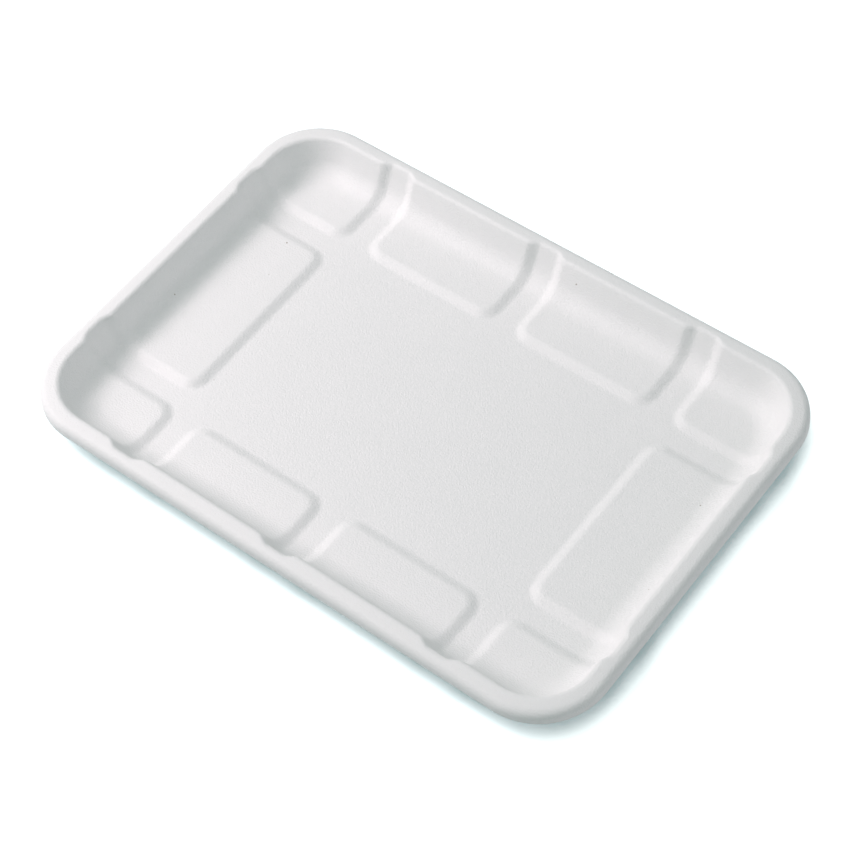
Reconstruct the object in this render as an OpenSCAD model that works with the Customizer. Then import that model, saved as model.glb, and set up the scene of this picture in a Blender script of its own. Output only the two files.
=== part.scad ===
// Shallow food tray of moulded sugar-cane fibre, one pressed shell.
// X runs along the length, Y along the width, Z up from the surface it stands on.
// The origin is the centre of the outline, at the level of the underside.

/* [Outline] */
// Overall length over the rim
tray_l = 209.55; // [150:0.05:320]
// Overall width over the rim
tray_w = 146.05; // [115:0.05:250]
// Overall height, underside of the floor to the top of the rim
tray_h = 14; // [12:0.1:30]
// Plan radius of the outer corners
corner_r = 23; // [17:0.1:30]
// Plan radius of the corners at the foot of the wall
foot_corner_r = 9; // [6:0.1:16]

/* [Wall] */
// Thickness of the moulded fibre
wall_t = 0.8; // [0.5:0.05:1.4]
// Slope of the side wall, degrees from level
wall_slope = 66.5; // [50:0.5:75]
// Radius where the wall runs into a panel
foot_r = 8.4; // [4:0.1:10]

/* [Rim] */
// Width of the rim where a panel meets it
rim_w = 6; // [5.6:0.1:9]
// Fall of the rim's top toward its outer edge, degrees
rim_fall = 6; // [2:1:15]
// Radius of the rim's outer edge
rim_outer_r = 2.7; // [1.6:0.1:3]
// Radius of the rim's inner edge
rim_inner_r = 1.7; // [1.5:0.1:2]
// Depth of the turned-down lip below the top of the rim
lip_h = 4.5; // [3.5:0.1:8]
// Flare of the lip, degrees from upright
lip_flare = 4; // [0:1:15]

/* [Raised panels] */
// Height of the panels above the middle of the floor
panel_h = 1.5; // [0.5:0.1:3]
// Level depth of the grooves in the long walls
long_side_groove_depth = 1.8; // [0.5:0.1:2.1]
// Level depth of the grooves in the short walls
short_side_groove_depth = 1.5; // [0.5:0.1:2.1]
// Inner edge of the long sides' panels, from the outer edge of the rim
long_side_reach = 30.6; // [29:0.1:45]
// Inner edge of the short sides' panels, from the outer edge of the rim
short_side_reach = 39.8; // [32:0.1:60]
// Width of the grooves that run to the long sides
long_side_groove_w = 10.4; // [6:0.1:16]
// Width of the grooves that run to the short sides
short_side_groove_w = 9.8; // [6:0.1:16]
// Plan width of a panel's sloping edge
ramp_w = 4.1; // [2:0.1:5]
// Plan radius of a panel's corners
panel_corner_r = 5; // [3:0.1:8]

/* [Hidden] */
fibre_white = [0.95, 0.95, 0.94];
// Straight steps in each rounding of the section
outer_steps = 3;
inner_steps = 3;
foot_steps = 3;
// Lines across a panel's sloping edge, and across the corner between the wall and the panel
ramp_steps = 3;
corner_steps = 3;

half_l = tray_l / 2;
half_w = tray_w / 2;
panel_z = wall_t + panel_h;

function clamp01(v) = min(max(v, 0), 1);
function mix(a, b, share) = a + (b - a) * share;
function ease(v) = let (u = clamp01(v)) u * u * (3 - 2 * u);
function fractions(count) = [for (i = [0:count]) i / count];

// The section of rim and wall is a list of stations, from the lip's cut edge to the foot of the
// wall. A station is [inset from the outer edge, height, lean of the surface from level].
function facing(lean) = [sin(lean), cos(lean)];
function sweep(lean_a, lean_b, steps) = [for (f = fractions(steps)) mix(lean_a, lean_b, f)];
function arc(centre, r, leans) =
    [for (lean = leans) let (p = centre + r * facing(lean)) [p.x, p.y, lean]];

// Centre of a rounding of radius r on the corner where two faces meet
function rounding_centre(corner, r, lean_a, lean_b) =
    corner - r * (facing(lean_a) + facing(lean_b)) / (1 + facing(lean_a) * facing(lean_b));

lip_lean = lip_flare - 90;
lip_edge = [0, tray_h - lip_h];
// Height of the sharp corner whose rounding just reaches the top of the rim
rim_corner_z = tray_h - rim_inner_r
    + rim_inner_r * (cos(rim_fall) + cos(wall_slope)) / (1 + cos(rim_fall + wall_slope));
function rim_line_z(inset) = rim_corner_z + (inset - rim_w) * tan(rim_fall);
// Sharp corner of the lip and the rim's top
rim_outer_inset = (rim_line_z(0) - lip_edge.y) * tan(lip_flare) / (1 - tan(lip_flare) * tan(rim_fall));
rim_outer_corner = [rim_outer_inset, rim_line_z(rim_outer_inset)];
// The inner rounding has a station right at the top of the rim
outer_leans = sweep(lip_lean, -rim_fall, outer_steps);
inner_leans = concat([-rim_fall], sweep(0, wall_slope, inner_steps - 1));
foot_leans = sweep(wall_slope, 0, foot_steps);

// Section where the rim's inner edge lies at rim_in and the floor at floor_z
function section(rim_in, floor_z, fillet_r) =
    let (rim_corner = [rim_in, rim_line_z(rim_in)])
    let (foot = [rim_in + (rim_corner.y - floor_z) / tan(wall_slope), floor_z])
    concat(
        [[lip_edge.x, lip_edge.y, lip_lean]],
        arc(rounding_centre(rim_outer_corner, rim_outer_r, lip_lean, -rim_fall), rim_outer_r, outer_leans),
        arc(rounding_centre(rim_corner, rim_inner_r, -rim_fall, wall_slope), rim_inner_r, inner_leans),
        arc(rounding_centre(foot, -fillet_r, wall_slope, 0), -fillet_r, foot_leans));

panel_section = section(rim_w, panel_z, foot_r);
long_groove_section = section(rim_w - long_side_groove_depth, wall_t, foot_r + panel_h);
short_groove_section = section(rim_w - short_side_groove_depth, wall_t, foot_r + panel_h);
stations = len(panel_section);
foot_inset = panel_section[stations - 1].x;

// Plan radius of the corner at an inset: it shrinks to the foot's, and then away to nothing
function plan_radius(inset) = inset < foot_inset
    ? mix(corner_r, foot_corner_r, clamp01(inset / foot_inset))
    : max(foot_corner_r - (inset - foot_inset), 0);

// Depth inside a panel, as seen in plan, with its corner rounded
function rounded_depth(a, b) = a < panel_corner_r && b < panel_corner_r
    ? panel_corner_r - norm([panel_corner_r - a, panel_corner_r - b])
    : min(a, b);

panel_edge_x = half_l - short_side_reach;
panel_edge_y = half_w - long_side_reach;
// Ends of the panels beside the grooves, from the tray's middle planes
groove_end = long_side_groove_w / 2;
long_panel_end = panel_edge_x - long_side_groove_w;
short_panel_end = panel_edge_y - short_side_groove_w;

// Share of the panel's height at a place in plan: 1 on a panel, 0 on the middle floor and grooves
function panel_share(x, y) =
    let (ax = abs(x))
    let (ay = abs(y))
    let (corner_panel = rounded_depth(ax - panel_edge_x, ay - panel_edge_y))
    let (long_panel = rounded_depth(min(ax - groove_end, long_panel_end - ax), ay - panel_edge_y))
    let (short_panel = rounded_depth(short_panel_end - ay, ax - panel_edge_x))
    ease(max(corner_panel, long_panel, short_panel) / ramp_w + 0.5);

// Lines of the net along one axis, as insets from the outer edge and then as signed places
ramp_lines = [for (f = fractions(ramp_steps)) (0.5 - f) * ramp_w];
function edge_lines(place) = [for (offset = ramp_lines) place + offset];
corner_lines =
    [for (i = [1:corner_steps]) foot_inset + (foot_corner_r - 1) * i / (corner_steps + 0.3)];
section_insets = [for (station = panel_section) station.x];
half_lines_x = concat(
    [for (inset = section_insets) half_l - inset],
    [for (inset = corner_lines) half_l - inset],
    edge_lines(panel_edge_x),
    edge_lines(long_panel_end),
    [long_panel_end - panel_corner_r, groove_end + panel_corner_r],
    edge_lines(groove_end));
half_lines_y = concat(
    [for (inset = section_insets) half_w - inset],
    [for (inset = corner_lines) half_w - inset],
    edge_lines(panel_edge_y),
    edge_lines(short_panel_end),
    [short_panel_end - panel_corner_r]);
function mirrored(lines) = concat(-lines, [for (i = [len(lines) - 1:-1:0]) lines[i]]);
lines_x = mirrored(half_lines_x);
lines_y = mirrored(half_lines_y);
count_x = len(lines_x);
count_y = len(lines_y);

// One point of the net. depth is 0 on the visible face and wall_t on the underside.
function net_point(i, j, depth) =
    let (x = lines_x[i])
    let (y = lines_y[j])
    let (u = half_l - abs(x))
    let (v = half_w - abs(y))
    let (ring = min(i, count_x - 1 - i, j, count_y - 1 - j))
    let (share = panel_share(x, y))
    let (on_floor = [min(u, v), mix(wall_t, panel_z, share), 0])
    let (groove_station = u < v ? short_groove_section[ring] : long_groove_section[ring])
    let (station = ring < stations ? mix(groove_station, panel_section[ring], share) : on_floor)
    let (near = station.x - depth * sin(station.z))
    let (height = station.y - depth * cos(station.z))
    let (inset = min(u, v))
    let (r = plan_radius(inset))
    let (along = max(u, v) - inset)
    let (turn = along < r ? 45 * (1 - along / r) : 0)
    let (swing = inset + r - near)
    let (side_in = along < r ? inset + r - swing * cos(turn) : near)
    let (end_in = along < r ? inset + r - swing * sin(turn) : max(u, v))
    let (in_x = u < v ? side_in : end_in)
    let (in_y = u < v ? end_in : side_in)
    [sign(x) * (half_l - in_x), sign(y) * (half_w - in_y), height];

function net(depth) =
    [for (i = [0:count_x - 1]) for (j = [0:count_y - 1]) net_point(i, j, depth)];
function at(i, j) = i * count_y + j;
// Two triangles for a cell, split toward the nearest corner of the tray
function cell(i, j) = (2 * i < count_x) == (2 * j < count_y)
    ? [[at(i, j), at(i, j + 1), at(i + 1, j + 1)], [at(i, j), at(i + 1, j + 1), at(i + 1, j)]]
    : [[at(i, j), at(i, j + 1), at(i + 1, j)], [at(i, j + 1), at(i + 1, j + 1), at(i + 1, j)]];
function flipped(face) = [for (k = [len(face) - 1:-1:0]) face[k]];
cells = [for (i = [0:count_x - 2]) for (j = [0:count_y - 2]) each cell(i, j)];
rim_loop = concat(
    [for (i = [0:count_x - 1]) at(i, 0)],
    [for (j = [1:count_y - 1]) at(count_x - 1, j)],
    [for (i = [count_x - 2:-1:0]) at(i, count_y - 1)],
    [for (j = [count_y - 2:-1:1]) at(0, j)]);
under = count_x * count_y;

// The cut edge of the lip joins the visible face to the underside
function cut_edge() =
    [for (k = [0:len(rim_loop) - 1])
        let (a = rim_loop[k])
        let (b = rim_loop[(k + 1) % len(rim_loop)])
        each [[a, b, b + under], [a, b + under, a + under]]];

module tray() {
    color(fibre_white)
    polyhedron(
        points = concat(net(0), net(wall_t)),
        faces = concat(cells, [for (face = cells) flipped([for (k = face) k + under])], cut_edge()),
        convexity = 6);
}

tray();
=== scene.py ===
"""A shallow food tray of moulded sugar-cane fibre, its floor, lamps and camera."""

import math

import bpy
import numpy as np
from mathutils import Euler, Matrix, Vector


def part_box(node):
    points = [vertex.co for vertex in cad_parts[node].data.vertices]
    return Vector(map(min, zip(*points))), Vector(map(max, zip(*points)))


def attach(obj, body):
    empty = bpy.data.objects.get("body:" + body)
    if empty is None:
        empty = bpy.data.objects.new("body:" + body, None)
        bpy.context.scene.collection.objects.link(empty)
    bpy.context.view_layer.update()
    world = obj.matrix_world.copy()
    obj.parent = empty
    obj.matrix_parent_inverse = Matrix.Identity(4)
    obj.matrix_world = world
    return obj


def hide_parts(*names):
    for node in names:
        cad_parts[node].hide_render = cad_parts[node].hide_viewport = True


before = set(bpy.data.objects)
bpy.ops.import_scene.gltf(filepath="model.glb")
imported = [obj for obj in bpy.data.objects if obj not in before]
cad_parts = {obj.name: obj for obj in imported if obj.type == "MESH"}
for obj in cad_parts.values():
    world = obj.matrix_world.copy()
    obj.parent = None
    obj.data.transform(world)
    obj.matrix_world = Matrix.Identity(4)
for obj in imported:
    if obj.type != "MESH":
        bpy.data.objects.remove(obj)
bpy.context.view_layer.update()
tray_low, tray_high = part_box("tray")

bl_info = {
    "name": "Moulded Fibre Food Tray",
    "version": (1, 0, 0),
    "blender": (4, 5, 0),
    "location": "View3D > Sidebar > Fibre Tray",
    "description": "Shallow tray with raised panels, a rolled rim and a moulded fibre finish",
    "category": "Add Mesh",
}

# Steps of the net: in the section's roundings and straight faces, round the cut edge, and the
# lines across the floor along X and Y
OUTER_STEPS = 9
INNER_STEPS = 8
FILLET_STEPS = 13
STRAIGHT_STEPS = 3
CUT_EDGE_STEPS = 5
FLOOR_LINES_X = 168
FLOOR_LINES_Y = 112

# How near to a panel's edge the net's lines crowd, and by how much, in metres and as a ratio
CROWD_REACH = 0.004
CROWD_GAIN = 3

# From the foot of the wall, where the wall's width of a panel's slope has faded to the floor's,
# and the width over which it fades, in metres
RAMP_FADE_START = 0.002
RAMP_FADE_W = 0.006

# Painted contact shadow on the floor: share of the sky in sight at which the floor's white glow begins, and
# at which it is full; below the first the glow is gone and the painted shadow is darkest
WHITE_FROM = 0.53
WHITE_FULL = 0.95

# Lamps: name, light that it is part of, its share of that light's power, where it stands (degrees
# turned from +X toward +Y, and above the horizon), its distance and its side in metres
LAMPS = (
    ("key_high", "key", 0.41, 190, 54, 1.0, 0.31),
    ("key_middle", "key", 0.37, 200, 44, 1.0, 0.31),
    ("key_low", "key", 0.22, 212, 32, 1.0, 0.31),
    ("fill_middle", "fill", 0.54, 0, 28, 1.8, 1.35),
    ("fill_left", "fill", 0.30, 60, 26, 1.8, 1.35),
    ("fill_right", "fill", 0.16, 300, 28, 1.8, 1.35),
)


# Sizes and colours that a user would change

def length(name, description, millimetres):
    """A length, given in millimetres and held in metres."""
    return bpy.props.FloatProperty(
        name=name, description=description, default=millimetres / 1000, min=0, precision=5,
        unit="LENGTH")


def angle(name, description, degrees):
    """An angle, given in degrees and held in radians."""
    return bpy.props.FloatProperty(
        name=name, description=description, default=math.radians(degrees), subtype="ANGLE")


def number(name, description, value):
    """A plain number."""
    return bpy.props.FloatProperty(name=name, description=description, default=value)


def colour(name, description, rgb):
    """A colour in linear light."""
    return bpy.props.FloatVectorProperty(
        name=name, description=description, default=rgb, min=0, max=1, size=3, subtype="COLOR")


class FibreTraySizes(bpy.types.PropertyGroup):
    """Sizes of the tray. The outline and the height come from the frame."""

    tray_l: length("Length", "Overall length over the rim", 1000 * (tray_high.x - tray_low.x))
    tray_w: length("Width", "Overall width over the rim", 1000 * (tray_high.y - tray_low.y))
    tray_h: length("Height", "Underside of the floor to the top of the rim", 1000 * tray_high.z)
    corner_r: length("Corner radius", "Plan radius of the outer corners", 23)
    foot_corner_r: length("Foot corner radius", "Plan radius of the corners at the wall's foot", 9)
    wall_t: length("Wall thickness", "Thickness of the moulded fibre", 0.8)
    wall_slope: angle("Wall slope", "Slope of the side wall from level", 66.5)
    foot_r: length("Foot radius", "Radius where the wall runs into a panel", 8.4)
    rim_w: length("Rim width", "Width of the rim where a panel meets it", 6.0)
    rim_fall: angle("Rim fall", "Fall of the rim's top toward its outer edge", 6)
    rim_outer_r: length("Rim outer radius", "Radius of the rim's outer edge", 2.7)
    rim_inner_r: length("Rim inner radius", "Radius of the rim's inner edge", 1.7)
    lip_h: length("Lip depth", "Depth of the turned-down lip below the top of the rim", 4.5)
    lip_flare: angle("Lip flare", "Flare of the lip from upright", 4)
    cut_round: length("Cut edge bulge", "How far the lip's cut edge bulges", 0.15)
    panel_h: length("Panel height", "Height of the panels above the middle of the floor", 1.5)
    long_side_groove_depth: length(
        "Long wall groove depth", "Level depth of the grooves in the long walls", 1.8)
    short_side_groove_depth: length(
        "Short wall groove depth", "Level depth of the grooves in the short walls", 1.5)
    long_side_reach: length(
        "Long side reach", "Outer edge to the inner edge of the long sides' panels", 30.6)
    short_side_reach: length(
        "Short side reach", "Outer edge to the inner edge of the short sides' panels", 39.8)
    long_side_groove_w: length(
        "Long side groove", "Width of the grooves that run to the long sides", 10.4)
    short_side_groove_w: length(
        "Short side groove", "Width of the grooves that run to the short sides", 9.8)
    ramp_w: length("Ramp width", "Plan width of a panel's sloping edge on the floor", 4.1)
    wall_ramp_w: length("Wall ramp width", "Width of a panel's sloping edge on the wall", 4.5)
    panel_corner_r: length("Panel corner radius", "Plan radius of a panel's corners", 5.0)


class FibreTrayFinish(bpy.types.PropertyGroup):
    """Colours and grain of the moulded fibre."""

    fibre: colour("Fibre", "Main colour of the bleached fibre", (0.87, 0.87, 0.865))
    fibre_shade: colour("Fibre shade", "Colour of the slightly darker clouds in it", (0.84, 0.845, 0.84))
    speck: colour("Speck", "Colour of the few specks of unbleached fibre", (0.30, 0.26, 0.20))
    speck_gap: length("Speck gap", "Average distance between specks in the fibre", 14)
    speck_r: length("Speck radius", "Largest radius of a speck", 0.35)
    roughness: number("Roughness", "Roughness of the dry, pressed surface", 0.55)
    grain_w: length("Grain size", "Size of the fine grain", 0.6)
    grain_h: length("Grain height", "Height of the fine grain", 0.2)
    mottle_w: length("Mottle size", "Size of the soft unevenness of the wall", 7)
    mottle_h: length("Mottle height", "Height of the soft unevenness of the wall", 0.02)
    cloud_w: length("Cloud size", "Size of the slightly darker clouds", 20)
    screen_gap: length("Screen gap", "Gap between the threads of the forming screen", 0.9)
    screen_h: length("Screen height", "Height of the forming screen's mark on the underside", 0.03)


class FibreTrayStage(bpy.types.PropertyGroup):
    """Floor, lamps and camera."""

    floor_w: length("Floor width", "Side of the square floor", 8000)
    floor_gap: length("Floor gap", "Gap between the tray and the floor", 0.05)
    floor_white: number("Floor white", "Light of the white floor where the camera sees it", 1.0)
    # The floor's seen colour is teal and its bounce is grey: the teal is a painted tint of shade, so the
    # lamps' shadow in the floor comes out teal
    floor: colour("Floor", "Colour of the floor in the lamps' light", (0.72, 0.93, 0.95))
    floor_bounce: colour("Floor bounce", "Colour of the floor in the light that it returns", (0.5, 0.5, 0.5))
    # Painted contact shadow: the floor's white glow is dimmed near the tray by how much of a leaned sky the
    # tray hides within this reach
    painted_shadow_reach: length("Contact reach", "How far away the tray takes from the floor's white", 14)
    painted_shadow_lean: angle("Contact lean", "Lean from upright of the light that the tray takes away", 14.8)
    painted_shadow_side: angle("Contact side", "Side that light comes from, turned from +X toward +Y", 258)
    sky: colour("Sky", "Colour of the soft light from all round", (0.45, 1.0, 0.82))
    sky_strength: number("Sky strength", "Strength of the soft light from all round", 0.2)
    key: colour("Key", "Colour of the window light", (1.0, 0.87, 0.92))
    key_strength: number("Key strength", "Power of the window light, in watts", 9.0)
    fill: colour("Fill", "Colour of the low light from the other side", (1.0, 0.8, 0.9))
    fill_strength: number("Fill strength", "Power of the low light from the other side, in watts", 12.5)
    target: bpy.props.FloatVectorProperty(
        name="Target", description="Point that the camera looks at", default=(0.00598, -0.00491, 0.007),
        size=3, precision=5, subtype="XYZ_LENGTH", unit="LENGTH")
    azimuth: angle("Azimuth", "Turn of the camera round the tray; 0 looks along +Y", 43.03)
    elevation: angle("Elevation", "Height of the camera above the horizon", 54.74)
    roll: angle("Roll", "Turn of the picture, clockwise", 6.83)
    distance: length("Distance", "Camera to target", 696.1)
    lens: number("Lens", "Focal length in millimetres", 96.35)


# Section of the rim and wall

def facing(lean):
    """Unit vector (inward, up) of a surface that leans inward from level: (sin lean, cos lean)."""
    return np.stack([np.sin(lean), np.cos(lean)], axis=-1)


def rounding_centre(corner, radius, lean_a, lean_b):
    """Centre of a rounding between two faces: corner - r (a + b) / (1 + a.b), a and b their normals."""
    a, b = facing(lean_a), facing(lean_b)
    return np.asarray(corner) - radius * (a + b) / (1 + a @ b)


def arc(centre, radius, lean_a, lean_b, steps):
    """Stations on a circle: centre + r (sin lean, cos lean), for leans at even steps."""
    lean = np.linspace(lean_a, lean_b, steps + 1)
    return np.column_stack([centre + radius * facing(lean), lean])


def between(start, end, steps):
    """Stations between two others, on the straight line start + f (end - start)."""
    share = np.arange(1, steps)[:, None] / steps
    return start + share * (end - start)


def section(size, rim_in, floor_z, fillet_r):
    """Stations (inset, height, lean) from the lip's cut edge to the foot of the wall.

    Three straight faces, lip, rim and wall, and the level floor meet in sharp corners, and each
    corner is rounded with an arc. The rim's corner is set so that its arc just reaches the height.
    """
    slope, fall, flare = size.wall_slope, size.rim_fall, size.lip_flare
    corner_z = size.tray_h - size.rim_inner_r + size.rim_inner_r * (
        math.cos(fall) + math.cos(slope)) / (1 + math.cos(fall + slope))
    lip_lean = flare - math.pi / 2
    lip_edge = np.array([0, size.tray_h - size.lip_h, lip_lean])

    def rim_line(inset):
        return corner_z + (inset - size.rim_w) * math.tan(fall)

    outer_in = (rim_line(0) - lip_edge[1]) * math.tan(flare) / (1 - math.tan(flare) * math.tan(fall))
    outer_corner = (outer_in, rim_line(outer_in))
    inner_corner = (rim_in, rim_line(rim_in))
    foot = (rim_in + (inner_corner[1] - floor_z) / math.tan(slope), floor_z)
    outer = arc(rounding_centre(outer_corner, size.rim_outer_r, lip_lean, -fall),
                size.rim_outer_r, lip_lean, -fall, OUTER_STEPS)
    inner = arc(rounding_centre(inner_corner, size.rim_inner_r, -fall, slope),
                size.rim_inner_r, -fall, slope, INNER_STEPS)
    fillet = arc(rounding_centre(foot, -fillet_r, slope, 0), -fillet_r, slope, 0, FILLET_STEPS)
    return np.vstack([
        lip_edge, between(lip_edge, outer[0], STRAIGHT_STEPS), outer,
        between(outer[-1], inner[0], STRAIGHT_STEPS), inner,
        between(inner[-1], fillet[0], STRAIGHT_STEPS), fillet])


# Plan of the panels and grooves

def ease(value):
    """0 below 0, 1 above 1, and the smooth curve 3 v^2 - 2 v^3 between."""
    value = np.clip(value, 0, 1)
    return value * value * (3 - 2 * value)


def rounded_depth(a, b, radius):
    """Depth inside two straight edges whose corner is rounded: r - |(r - a, r - b)| near the corner."""
    in_corner = (a < radius) & (b < radius)
    return np.where(in_corner, radius - np.hypot(radius - a, radius - b), np.minimum(a, b))


def panel_share(size, x, y, foot_inset):
    """Share of the panels' height at a place in plan: 1 on a panel, 0 on the middle and in grooves.

    By symmetry one quarter is enough: the depth inside its corner, long-side and short-side panels
    is worked out, and the largest of the three, over the ramp's width, is eased from 0 to 1.
    """
    ax, ay = np.abs(x), np.abs(y)
    edge_x = size.tray_l / 2 - size.short_side_reach
    edge_y = size.tray_w / 2 - size.long_side_reach
    long_start = size.long_side_groove_w / 2
    long_end = edge_x - size.long_side_groove_w
    short_end = edge_y - size.short_side_groove_w
    r = size.panel_corner_r
    corner = rounded_depth(ax - edge_x, ay - edge_y, r)
    long_side = rounded_depth(np.minimum(ax - long_start, long_end - ax), ay - edge_y, r)
    short_side = rounded_depth(short_end - ay, ax - edge_x, r)
    inset = np.minimum(size.tray_l / 2 - ax, size.tray_w / 2 - ay)
    on_wall = ease((foot_inset + RAMP_FADE_START - inset) / RAMP_FADE_W)
    ramp = size.ramp_w + (size.wall_ramp_w - size.ramp_w) * on_wall
    return ease(np.maximum.reduce([corner, long_side, short_side]) / ramp + 0.5)


# Net of the tray

def net_lines(half, insets, edges, count):
    """Places of the net's lines along one axis.

    The section's insets from both ends, and count lines between them that crowd near the edges:
    the density 1 + gain sum exp(-((x - edge) / reach)^2) is summed up and read back at even steps.
    """
    foot = half - insets[-1]
    fine = np.linspace(-foot, foot, 4001)
    bumps = np.exp(-((fine[:, None] - np.asarray(edges)) / CROWD_REACH) ** 2)
    density = 1 + CROWD_GAIN * bumps.sum(axis=1)
    total = np.concatenate([[0], np.cumsum((density[1:] + density[:-1]) / 2)])
    inner = np.interp(np.linspace(0, total[-1], count + 2)[1:-1], total, fine)
    return np.concatenate([insets - half, inner, half - insets[::-1]])


def tray_net(size, lines_x, lines_y, panel, long_groove, short_groove, depth):
    """Points of one face of the tray; depth is 0 on the visible face and wall_t on the underside.

    The net is a rectangle of lines. Its outer rings carry the section's stations, mixed from the
    grooves' to the panel's by the panel share, and inside them lies the floor. A point goes depth
    along its normal. Round a corner, a ring's points are swung on an arc about a centre that lies
    inset + r from both sides, through 45 degrees at the ring's own corner.
    """
    x, y = np.meshgrid(lines_x, lines_y, indexing="ij")
    row, column = np.indices(x.shape)
    ring = np.minimum.reduce([row, x.shape[0] - 1 - row, column, x.shape[1] - 1 - column])
    foot_inset = panel[-1, 0]
    share = panel_share(size, x, y, foot_inset)
    from_x = size.tray_l / 2 - np.abs(x)
    from_y = size.tray_w / 2 - np.abs(y)
    inset, reach = np.minimum(from_x, from_y), np.maximum(from_x, from_y)
    held = np.minimum(ring, len(panel) - 1)
    groove = np.where((from_x < from_y)[..., None], short_groove[held], long_groove[held])
    station = groove + (panel[held] - groove) * share[..., None]
    on_floor = np.stack([inset, size.wall_t + size.panel_h * share, np.zeros_like(inset)], axis=-1)
    station = np.where((ring < len(panel))[..., None], station, on_floor)
    near = station[..., 0] - depth * np.sin(station[..., 2])
    height = station[..., 1] - depth * np.cos(station[..., 2])
    wall_r = size.corner_r + (size.foot_corner_r - size.corner_r) * inset / foot_inset
    floor_r = np.maximum(size.foot_corner_r - (inset - foot_inset), 1e-9)
    radius = np.where(inset < foot_inset, wall_r, floor_r)
    turn = math.pi / 4 * np.clip(1 - (reach - inset) / radius, 0, 1)
    centre = inset + radius
    swing = centre - near
    side = np.where(turn > 0, centre - swing * np.cos(turn), near)
    end = np.where(turn > 0, centre - swing * np.sin(turn), reach)
    in_x = np.where(from_x < from_y, side, end)
    in_y = np.where(from_x < from_y, end, side)
    out_x = np.sign(x) * (size.tray_l / 2 - in_x)
    out_y = np.sign(y) * (size.tray_w / 2 - in_y)
    return np.stack([out_x, out_y, height], axis=-1)


def border(grid):
    """The values of a grid once round its border, counter-clockwise."""
    return np.concatenate([grid[:-1, 0], grid[-1, :-1], grid[:0:-1, -1], grid[0, :0:-1]])


def cut_edge(size, visible, underside, steps):
    """Loops of points on the lip's cut edge, a flat half ellipse between the two faces' borders.

    A point is a + (b - a)(1 - cos t) / 2 + bulge sin t along the lip, for t from 0 to a half turn.
    """
    a, b = border(visible), border(underside)
    across = b - a
    outward = -across / np.linalg.norm(across[:, :2], axis=1, keepdims=True)
    outward[:, 2] = 0
    along = outward * math.sin(size.lip_flare) + np.array([0, 0, -math.cos(size.lip_flare)])
    t = (math.pi * np.arange(1, steps) / steps)[:, None, None]
    return a + across * (1 - np.cos(t)) / 2 + along * size.cut_round * np.sin(t)


def quads(index):
    """Faces between neighbouring rows and columns of a grid of point numbers."""
    corners = (index[:-1, :-1], index[1:, :-1], index[1:, 1:], index[:-1, 1:])
    return np.stack(corners, axis=-1).reshape(-1, 4)


def tray_surface(size):
    """Points, faces and the underside's share of the whole closed tray."""
    panel = section(size, size.rim_w, size.wall_t + size.panel_h, size.foot_r)
    groove_foot_r = size.foot_r + size.panel_h
    long_groove = section(size, size.rim_w - size.long_side_groove_depth, size.wall_t, groove_foot_r)
    short_groove = section(size, size.rim_w - size.short_side_groove_depth, size.wall_t, groove_foot_r)
    insets = panel[:, 0]
    edge_x = size.tray_l / 2 - size.short_side_reach
    edge_y = size.tray_w / 2 - size.long_side_reach
    right = np.array([edge_x, edge_x - size.long_side_groove_w, size.long_side_groove_w / 2])
    far = np.array([edge_y, edge_y - size.short_side_groove_w])
    lines_x = net_lines(size.tray_l / 2, insets, np.concatenate([-right, right]), FLOOR_LINES_X)
    lines_y = net_lines(size.tray_w / 2, insets, np.concatenate([-far, far]), FLOOR_LINES_Y)
    sections = (panel, long_groove, short_groove)
    visible = tray_net(size, lines_x, lines_y, *sections, 0)
    under = tray_net(size, lines_x, lines_y, *sections, size.wall_t)
    edge = cut_edge(size, visible, under, CUT_EDGE_STEPS)
    points = np.concatenate([visible.reshape(-1, 3), under.reshape(-1, 3), edge.reshape(-1, 3)])

    index = np.arange(visible.shape[0] * visible.shape[1]).reshape(visible.shape[:2])
    below = index + index.size
    edge_index = 2 * index.size + np.arange(edge.shape[0] * edge.shape[1]).reshape(edge.shape[:2])
    strip = np.vstack([border(index), edge_index, border(below)])
    strip = np.hstack([strip, strip[:, :1]])
    faces = np.concatenate([quads(index), quads(below)[:, ::-1], quads(strip)])
    is_under = np.zeros(len(points))
    is_under[index.size:] = 1
    return points, faces, is_under


def make_mesh(name, points, faces, material):
    """A smooth mesh object from arrays of points and four-cornered faces."""
    mesh = bpy.data.meshes.new(name)
    mesh.vertices.add(len(points))
    mesh.vertices.foreach_set("co", points.ravel())
    mesh.loops.add(faces.size)
    mesh.loops.foreach_set("vertex_index", faces.ravel())
    mesh.polygons.add(len(faces))
    mesh.polygons.foreach_set("loop_start", np.arange(0, faces.size, faces.shape[1]))
    mesh.polygons.foreach_set("use_smooth", np.ones(len(faces), dtype=bool))
    mesh.update(calc_edges=True)
    mesh.validate()
    mesh.materials.append(material)
    piece = bpy.data.objects.new(name, mesh)
    bpy.context.collection.objects.link(piece)
    return piece


# Materials

def new_material(name):
    """An empty node material: its node tree, its output and itself."""
    material = bpy.data.materials.new(name)
    material.use_nodes = True
    tree = material.node_tree
    tree.nodes.clear()
    output = tree.nodes.new("ShaderNodeOutputMaterial")
    return material, tree, output


def node(tree, kind, settings=None, **inputs):
    """A shader node. Its inputs are values or other nodes' output sockets."""
    made = tree.nodes.new("ShaderNode" + kind)
    for key, value in (settings or {}).items():
        setattr(made, key, value)
    for key, value in inputs.items():
        socket = made.inputs[int(key[1:])] if key[1:].isdigit() else made.inputs[key.replace("_", " ")]
        if isinstance(value, bpy.types.NodeSocket):
            tree.links.new(value, socket)
        else:
            socket.default_value = value
    return made


def maths(tree, operation, first, second=0.0):
    """The result of one sum on two values."""
    return node(tree, "Math", {"operation": operation}, i0=first, i1=second).outputs[0]


def noise(tree, place, grain_size, detail=2.0, roughness=0.5):
    """Noise whose lumps are about grain_size across, in metres."""
    made = node(tree, "TexNoise", Vector=place, Scale=1 / grain_size, Detail=detail, Roughness=roughness)
    return made.outputs["Factor"] if "Factor" in made.outputs else made.outputs[0]


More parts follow.
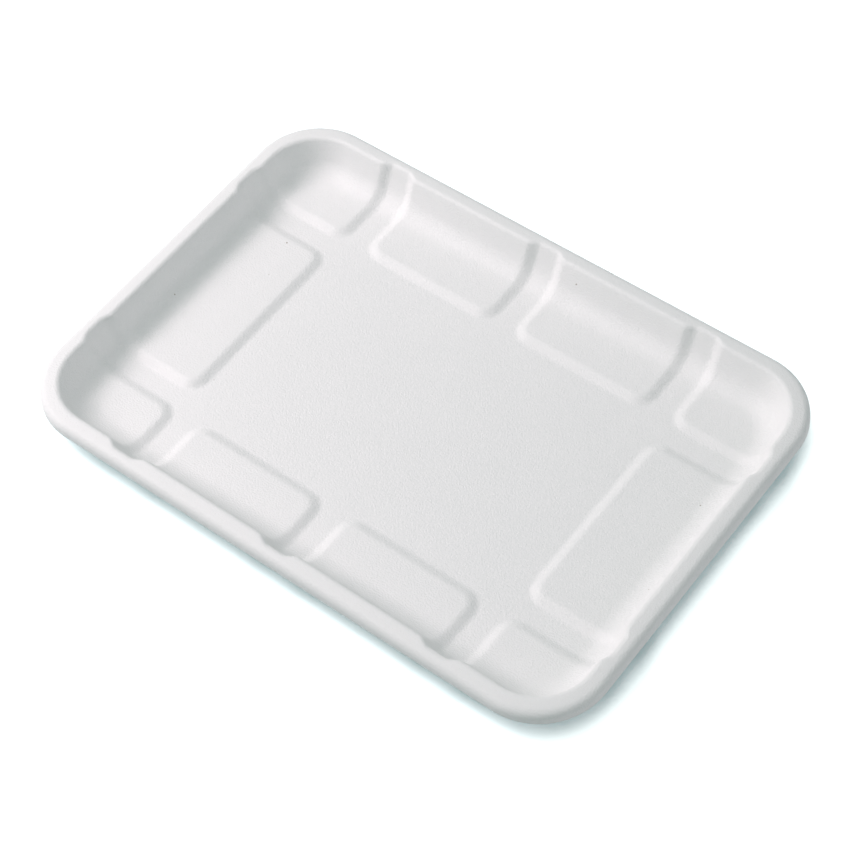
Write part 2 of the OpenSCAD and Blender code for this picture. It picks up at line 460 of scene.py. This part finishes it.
def scattered(tree, place, gap, radius):
    """1 near points scattered at random about one gap apart, fading to 0 at the radius from them."""
    made = node(tree, "TexVoronoi", Vector=place, Scale=1 / gap)
    return node(tree, "MapRange", Value=made.outputs["Distance"], From_Min=radius / gap,
                From_Max=radius / gap / 2).outputs[0]


def fibre_material(finish):
    """Bleached, pressed plant fibre: fine grain, soft clouds, a few specks, a screen mark below."""
    material, tree, output = new_material("pressed_fibre")
    place = node(tree, "TexCoord").outputs["Object"]
    grain = noise(tree, place, finish.grain_w, roughness=0.6)
    mottle = noise(tree, place, finish.mottle_w)
    clouds = noise(tree, place, finish.cloud_w, detail=3.0)
    specks = scattered(tree, place, finish.speck_gap, finish.speck_r)
    under = node(tree, "Attribute", {"attribute_name": "underside"}).outputs["Fac"]

    # The screen's mark: threads along X and Y, on the underside only
    axes = node(tree, "SeparateXYZ", Vector=place)
    pace = 2 * math.pi / finish.screen_gap
    thread = [maths(tree, "SINE", maths(tree, "MULTIPLY", axes.outputs[k], pace)) for k in (0, 1)]
    screen = maths(tree, "MULTIPLY", maths(tree, "MULTIPLY", *thread), under)

    shade = node(tree, "Mix", {"data_type": "RGBA"}, Factor=clouds)
    shade.inputs[6].default_value = (*finish.fibre, 1)
    shade.inputs[7].default_value = (*finish.fibre_shade, 1)
    speckled = node(tree, "Mix", {"data_type": "RGBA"}, Factor=specks)
    tree.links.new(shade.outputs[2], speckled.inputs[6])
    speckled.inputs[7].default_value = (*finish.speck, 1)

    height = maths(tree, "ADD", maths(tree, "MULTIPLY", grain, finish.grain_h),
                   maths(tree, "MULTIPLY", mottle, finish.mottle_h))
    height = maths(tree, "ADD", height, maths(tree, "MULTIPLY", screen, finish.screen_h / 2))
    bump = node(tree, "Bump", Height=height, Strength=1.0, Distance=1.0)
    surface = node(tree, "BsdfPrincipled", Base_Color=speckled.outputs[2], Roughness=finish.roughness,
                   Normal=bump.outputs[0])
    surface.inputs["Specular IOR Level"].default_value = 0.5
    tree.links.new(surface.outputs[0], output.inputs["Surface"])
    return material


def seen_share(tree):
    """1 for rays from the camera, and for those that a gloss or glass sends on, otherwise 0."""
    path = node(tree, "LightPath")
    glossy = maths(tree, "MAXIMUM", path.outputs["Is Glossy Ray"], path.outputs["Is Transmission Ray"])
    return maths(tree, "MAXIMUM", path.outputs["Is Camera Ray"], glossy)


def floor_material(stage):
    """A white floor.

    Where it is seen it glows white, and a contact shadow is painted into that glow: it glows less
    close to the tray, in step with how much of the sky the tray hides. The lamps' real light and
    shadow are added to that. The middle of that sky is (sin lean cos side, sin lean sin side, cos lean).
    """
    material, tree, output = new_material("white_floor")
    plain = node(tree, "BsdfDiffuse", Color=(*stage.floor_bounce, 1))
    # Seen floor colour, teal as a painted tint of the shade in it; the light it returns stays grey
    lit = node(tree, "BsdfDiffuse", Color=(*stage.floor, 1))
    lean, side = stage.painted_shadow_lean, stage.painted_shadow_side
    sky_middle = node(tree, "CombineXYZ", X=math.sin(lean) * math.cos(side),
                      Y=math.sin(lean) * math.sin(side), Z=math.cos(lean))
    # Painted contact shadow: the share of the leaned sky that the tray hides dims the floor's white glow
    painted_shadow_occlusion = node(tree, "AmbientOcclusion", {"samples": 8}, Distance=stage.painted_shadow_reach,
                  Normal=sky_middle.outputs[0])
    glow_less_painted_shadow = node(tree, "MapRange", Value=painted_shadow_occlusion.outputs["AO"], From_Min=WHITE_FROM, From_Max=WHITE_FULL,
                To_Max=stage.floor_white)
    white = node(tree, "Emission", Color=(1, 1, 1, 1), Strength=glow_less_painted_shadow.outputs[0])
    seen = node(tree, "AddShader", i0=lit.outputs[0], i1=white.outputs[0])
    both = node(tree, "MixShader", i0=seen_share(tree), i1=plain.outputs[0], i2=seen.outputs[0])
    tree.links.new(both.outputs[0], output.inputs["Surface"])
    return material


# Stage

def build_floor(stage):
    """A square floor just under the tray."""
    half, low = stage.floor_w / 2, -stage.floor_gap
    points = np.array([
        [-half, -half, low], [half, -half, low], [half, half, low], [-half, half, low]])
    floor = make_mesh("floor", points, np.array([[0, 1, 2, 3]]), floor_material(stage))


def build_sky(stage):
    """Even light from all round, and plain white where it is seen."""
    world = bpy.data.worlds.new("soft_sky")
    bpy.context.scene.world = world
    world.use_nodes = True
    tree = world.node_tree
    tree.nodes.clear()
    light = node(tree, "Background", Color=(*stage.sky, 1), Strength=stage.sky_strength)
    white = node(tree, "Background", Color=(1, 1, 1, 1), Strength=1.0)
    shown = node(tree, "MixShader", i0=seen_share(tree), i1=light.outputs[0], i2=white.outputs[0])
    output = tree.nodes.new("ShaderNodeOutputWorld")
    tree.links.new(shown.outputs[0], output.inputs["Surface"])


def build_lamp(name, azimuth, elevation, distance, side, power, rgb):
    """A square soft lamp that faces the origin.

    Its centre is at distance (cos e cos a, cos e sin a, sin e).
    """
    lamp = bpy.data.lights.new(name, "AREA")
    lamp.shape = "SQUARE"
    lamp.size = side
    lamp.energy = power
    lamp.color = rgb
    held = bpy.data.objects.new(name, lamp)
    level = math.cos(elevation)
    place = distance * Vector((
        level * math.cos(azimuth), level * math.sin(azimuth), math.sin(elevation)))
    held.location = place
    held.rotation_euler = (-place).to_track_quat("-Z", "Y").to_euler()
    bpy.context.collection.objects.link(held)


def build_camera(stage):
    """A camera at target + distance (sin a cos e, -cos a cos e, sin e), turned by the roll."""
    camera = bpy.data.cameras.new("camera")
    camera.lens = stage.lens
    camera.sensor_width = 36
    camera.clip_start = 0.01
    held = bpy.data.objects.new("camera", camera)
    a, e = stage.azimuth, stage.elevation
    back = Vector((math.sin(a) * math.cos(e), -math.cos(a) * math.cos(e), math.sin(e)))
    held.location = Vector(stage.target) + back * stage.distance
    turned = (-back).to_track_quat("-Z", "Y") @ Euler((0, 0, -stage.roll)).to_quaternion()
    held.rotation_euler = turned.to_euler()
    bpy.context.collection.objects.link(held)
    bpy.context.scene.camera = held


# Operators, panel and registration

class FIBRETRAY_OT_tray(bpy.types.Operator):
    """Make the tray with its moulded fibre finish"""

    bl_idname = "fibre_tray.tray"
    bl_label = "Tray"

    def execute(self, context):
        scene = context.scene
        points, faces, is_under = tray_surface(scene.fibre_tray_sizes)
        tray = make_mesh("fibre_tray", points, faces, fibre_material(scene.fibre_tray_finish))
        mark = tray.data.attributes.new("underside", "FLOAT", "POINT")
        mark.data.foreach_set("value", is_under)
        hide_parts("tray")
        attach(tray, "root")
        return {"FINISHED"}


class FIBRETRAY_OT_stage(bpy.types.Operator):
    """Make the floor, the lamps and the camera"""

    bl_idname = "fibre_tray.stage"
    bl_label = "Stage"

    def execute(self, context):
        stage = context.scene.fibre_tray_stage
        build_floor(stage)
        build_sky(stage)
        for name, light, share, azimuth, elevation, distance, side in LAMPS:
            power = share * getattr(stage, light + "_strength")
            build_lamp(name, math.radians(azimuth), math.radians(elevation), distance, side, power,
                       getattr(stage, light))
        build_camera(stage)
        context.scene.view_settings.view_transform = "Standard"
        return {"FINISHED"}


class FIBRETRAY_PT_panel(bpy.types.Panel):
    """The tray's operators and their values"""

    bl_idname = "FIBRETRAY_PT_panel"
    bl_label = "Fibre Tray"
    bl_space_type = "VIEW_3D"
    bl_region_type = "UI"
    bl_category = "Fibre Tray"

    def draw(self, context):
        scene = context.scene
        groups = (
            (FIBRETRAY_OT_tray, (scene.fibre_tray_sizes, scene.fibre_tray_finish)),
            (FIBRETRAY_OT_stage, (scene.fibre_tray_stage,)),
        )
        for operator, values in groups:
            box = self.layout.box()
            box.operator(operator.bl_idname)
            for group in values:
                for key in group.__annotations__:
                    box.prop(group, key)


CLASSES = (
    FibreTraySizes, FibreTrayFinish, FibreTrayStage, FIBRETRAY_OT_tray, FIBRETRAY_OT_stage,
    FIBRETRAY_PT_panel)


def register():
    for each in CLASSES:
        bpy.utils.register_class(each)
    bpy.types.Scene.fibre_tray_sizes = bpy.props.PointerProperty(type=FibreTraySizes)
    bpy.types.Scene.fibre_tray_finish = bpy.props.PointerProperty(type=FibreTrayFinish)
    bpy.types.Scene.fibre_tray_stage = bpy.props.PointerProperty(type=FibreTrayStage)


def unregister():
    del bpy.types.Scene.fibre_tray_stage
    del bpy.types.Scene.fibre_tray_finish
    del bpy.types.Scene.fibre_tray_sizes
    for each in reversed(CLASSES):
        bpy.utils.unregister_class(each)


def main():
    register()
    bpy.ops.fibre_tray.tray()
    bpy.ops.fibre_tray.stage()


if __name__ == "__main__":
    main()
